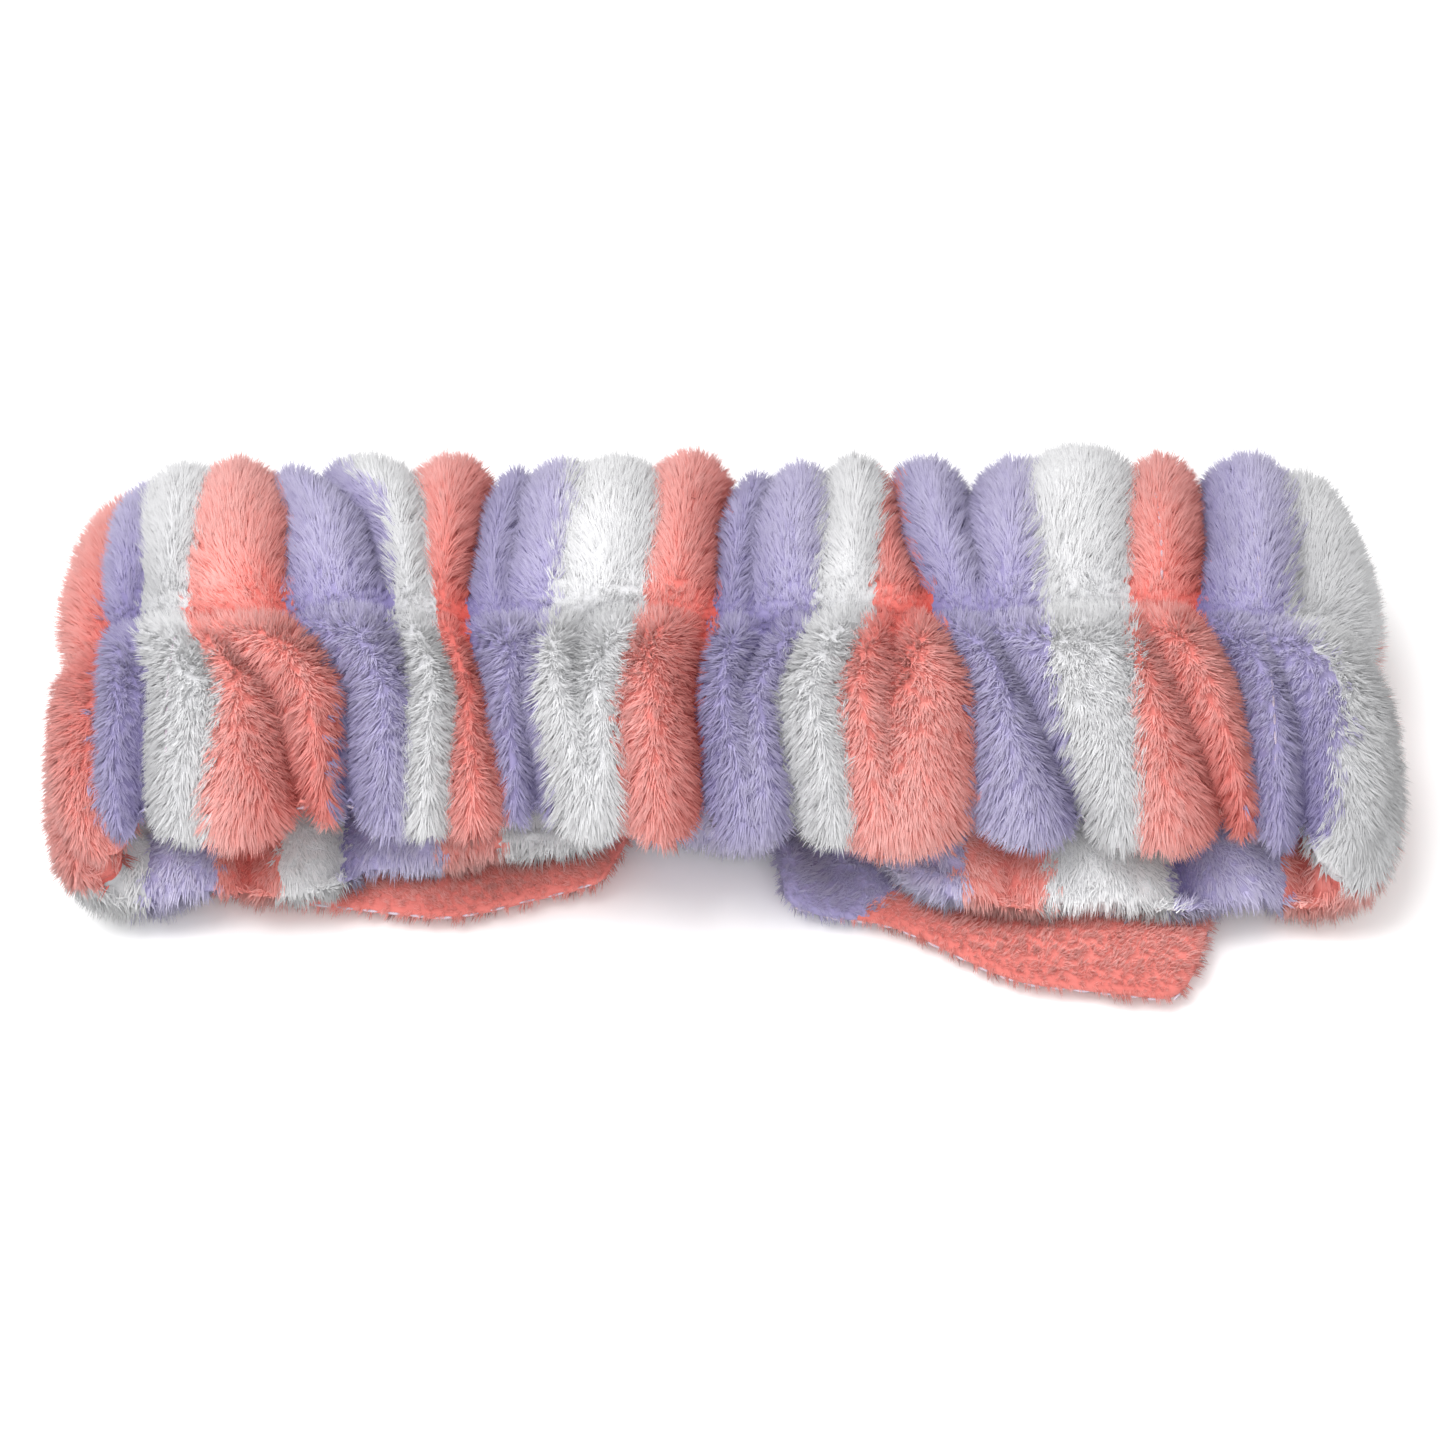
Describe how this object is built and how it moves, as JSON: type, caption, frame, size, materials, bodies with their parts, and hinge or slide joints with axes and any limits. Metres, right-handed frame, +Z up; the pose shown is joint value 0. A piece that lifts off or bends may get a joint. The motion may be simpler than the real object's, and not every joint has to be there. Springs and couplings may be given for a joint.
{
  "type": "spa headband",
  "caption": "Plush elasticated face-washing headband with a bow, lying flat: striped long-pile fleece tube, gathered at the back, knotted at the front.",
  "frame": {"origin": "on the surface it lies on, under the middle of the knot, which is the centre of the outline", "axes": "+X along the flat band's width, to the right seen from the bow's near side; +Y across the band, away from the near edge; +Z up, from the bow to the elasticated back"},
  "size_m": [0.2298, 0.1106, 0.0411],
  "materials": {
    "plush_fleece": "long plush pile in coral, lavender and white stripes",
    "lining_fleece": "long plush pile, the same striped fleece, facing the head",
    "bow_fleece": "plush pile in coral and lavender stripes",
    "woven_elastic": "ribbed woven elastic",
    "sewing_thread": "matt polyester thread"
  },
  "bodies": {
    "front_band": {"front_outer_panel": "plush_fleece", "front_lining_panel": "lining_fleece", "front_edge_stitching": "sewing_thread"},
    "back_band": {"back_outer_panel": "plush_fleece", "back_lining_panel": "lining_fleece", "back_edge_stitching": "sewing_thread", "left_turn_outer": "plush_fleece", "left_turn_lining": "lining_fleece", "right_turn_outer": "plush_fleece", "right_turn_lining": "lining_fleece", "elastic_strip": "woven_elastic", "elastic_stitching": "sewing_thread", "left_join_stitching": "sewing_thread", "right_join_stitching": "sewing_thread", "elastic_tack_stitching": "sewing_thread"},
    "bow": {"bow_waist": "bow_fleece", "bow_waist_thread": "sewing_thread", "knot_wrap": "bow_fleece", "knot_wrap_stitching": "sewing_thread"},
    "left_wing": {"left_wing_upper_ply": "bow_fleece", "left_wing_lower_ply": "bow_fleece", "left_wing_edge_stitching": "sewing_thread"},
    "right_wing": {"right_wing_upper_ply": "bow_fleece", "right_wing_lower_ply": "bow_fleece", "right_wing_edge_stitching": "sewing_thread"}
  },
  "joints": [
    {"name": "back_stretch", "type": "slide", "parent": "front_band", "child": "back_band", "axis": [0, 0, 1], "range_m": [0, 0.03]},
    {"name": "bow_swivel", "type": "hinge", "parent": "front_band", "child": "bow", "pos_m": [0, 0, 0.01], "axis": [0, 0, 1], "range_deg": [-5, 8]},
    {"name": "left_wing_fold", "type": "hinge", "parent": "bow", "child": "left_wing", "pos_m": [-0.01401, 0.00197, 0.003], "axis": [-0.1392, -0.9903, 0], "range_deg": [0, 30]},
    {"name": "right_wing_fold", "type": "hinge", "parent": "bow", "child": "right_wing", "pos_m": [0.01401, -0.00197, 0.003], "axis": [0.1392, 0.9903, 0], "range_deg": [0, 30]}
  ]
}
